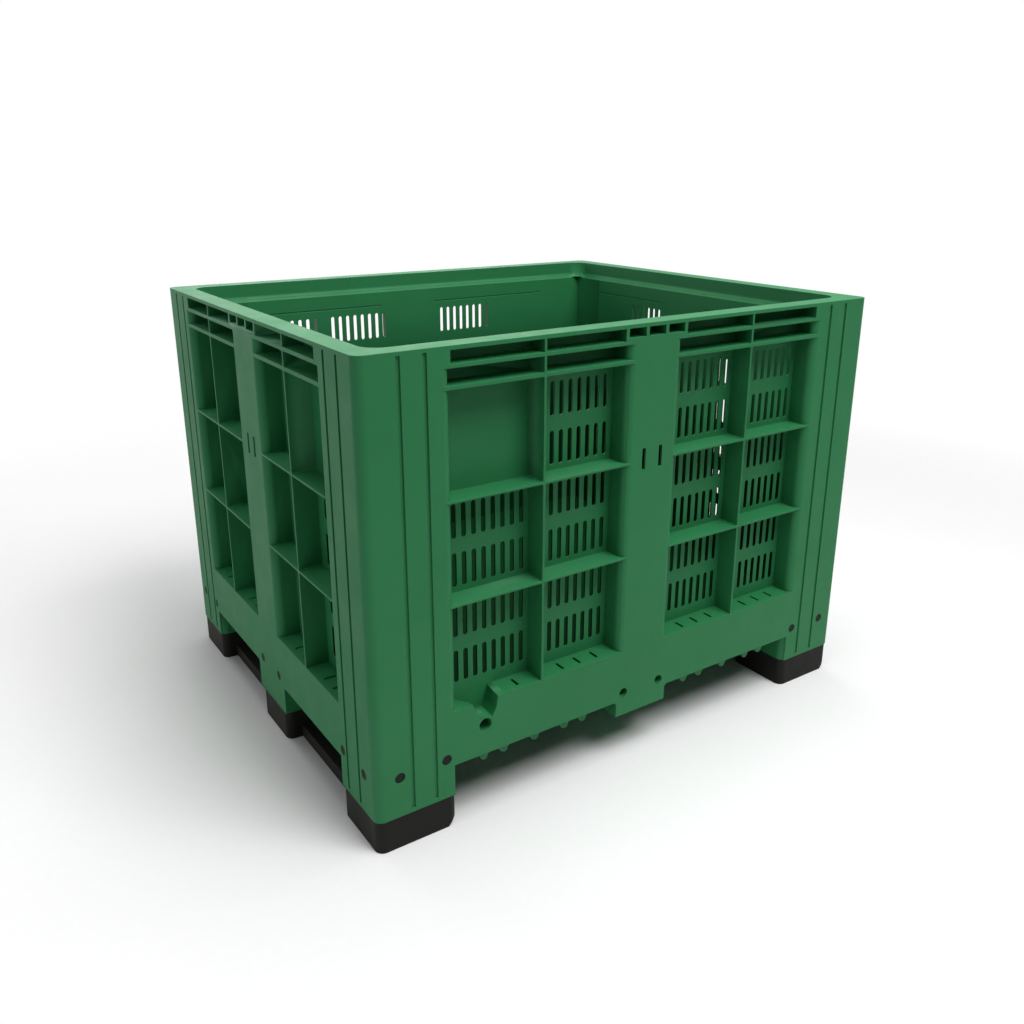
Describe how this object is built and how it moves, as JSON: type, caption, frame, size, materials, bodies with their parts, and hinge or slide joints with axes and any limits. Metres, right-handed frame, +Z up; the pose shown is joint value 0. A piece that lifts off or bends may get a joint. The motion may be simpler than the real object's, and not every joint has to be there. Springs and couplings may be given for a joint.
{
  "type": "fruit bin",
  "caption": "Ventilated plastic pallet bin with slotted double-rib walls, corner posts, stacking rim, drain outlet and two black clip-on runners for moving picked fruit by forklift",
  "frame": {"origin": "on the ground, under the middle of the bin", "axes": "+X along the long side to the right as seen from the front, +Y from the front wall (with the drain) to the back wall, +Z up"},
  "size_m": [1.2, 1, 0.89],
  "materials": {
    "body_plastic": "semi-matt moulded polyethylene with a fine grain, slightly scuffed on the edges",
    "runner_plastic": "matt black moulded plastic, rubbed on the lower edges"
  },
  "bodies": {
    "root": {"floor_deck": "body_plastic", "front_wall": "body_plastic", "back_wall": "body_plastic", "left_wall": "body_plastic", "right_wall": "body_plastic", "front_centre_post": "body_plastic", "back_centre_post": "body_plastic", "left_centre_post": "body_plastic", "right_centre_post": "body_plastic", "front_rim_rail": "body_plastic", "back_rim_rail": "body_plastic", "left_rim_rail": "body_plastic", "right_rim_rail": "body_plastic", "front_apron": "body_plastic", "back_apron": "body_plastic", "left_apron": "body_plastic", "right_apron": "body_plastic", "front_foot": "body_plastic", "back_foot": "body_plastic", "left_foot": "body_plastic", "right_foot": "body_plastic", "centre_foot": "body_plastic", "drain_boss": "body_plastic", "front_left_corner_post": "body_plastic", "front_right_corner_post": "body_plastic", "back_left_corner_post": "body_plastic", "back_right_corner_post": "body_plastic", "left_runner": "runner_plastic", "right_runner": "runner_plastic"}
  },
  "joints": []
}
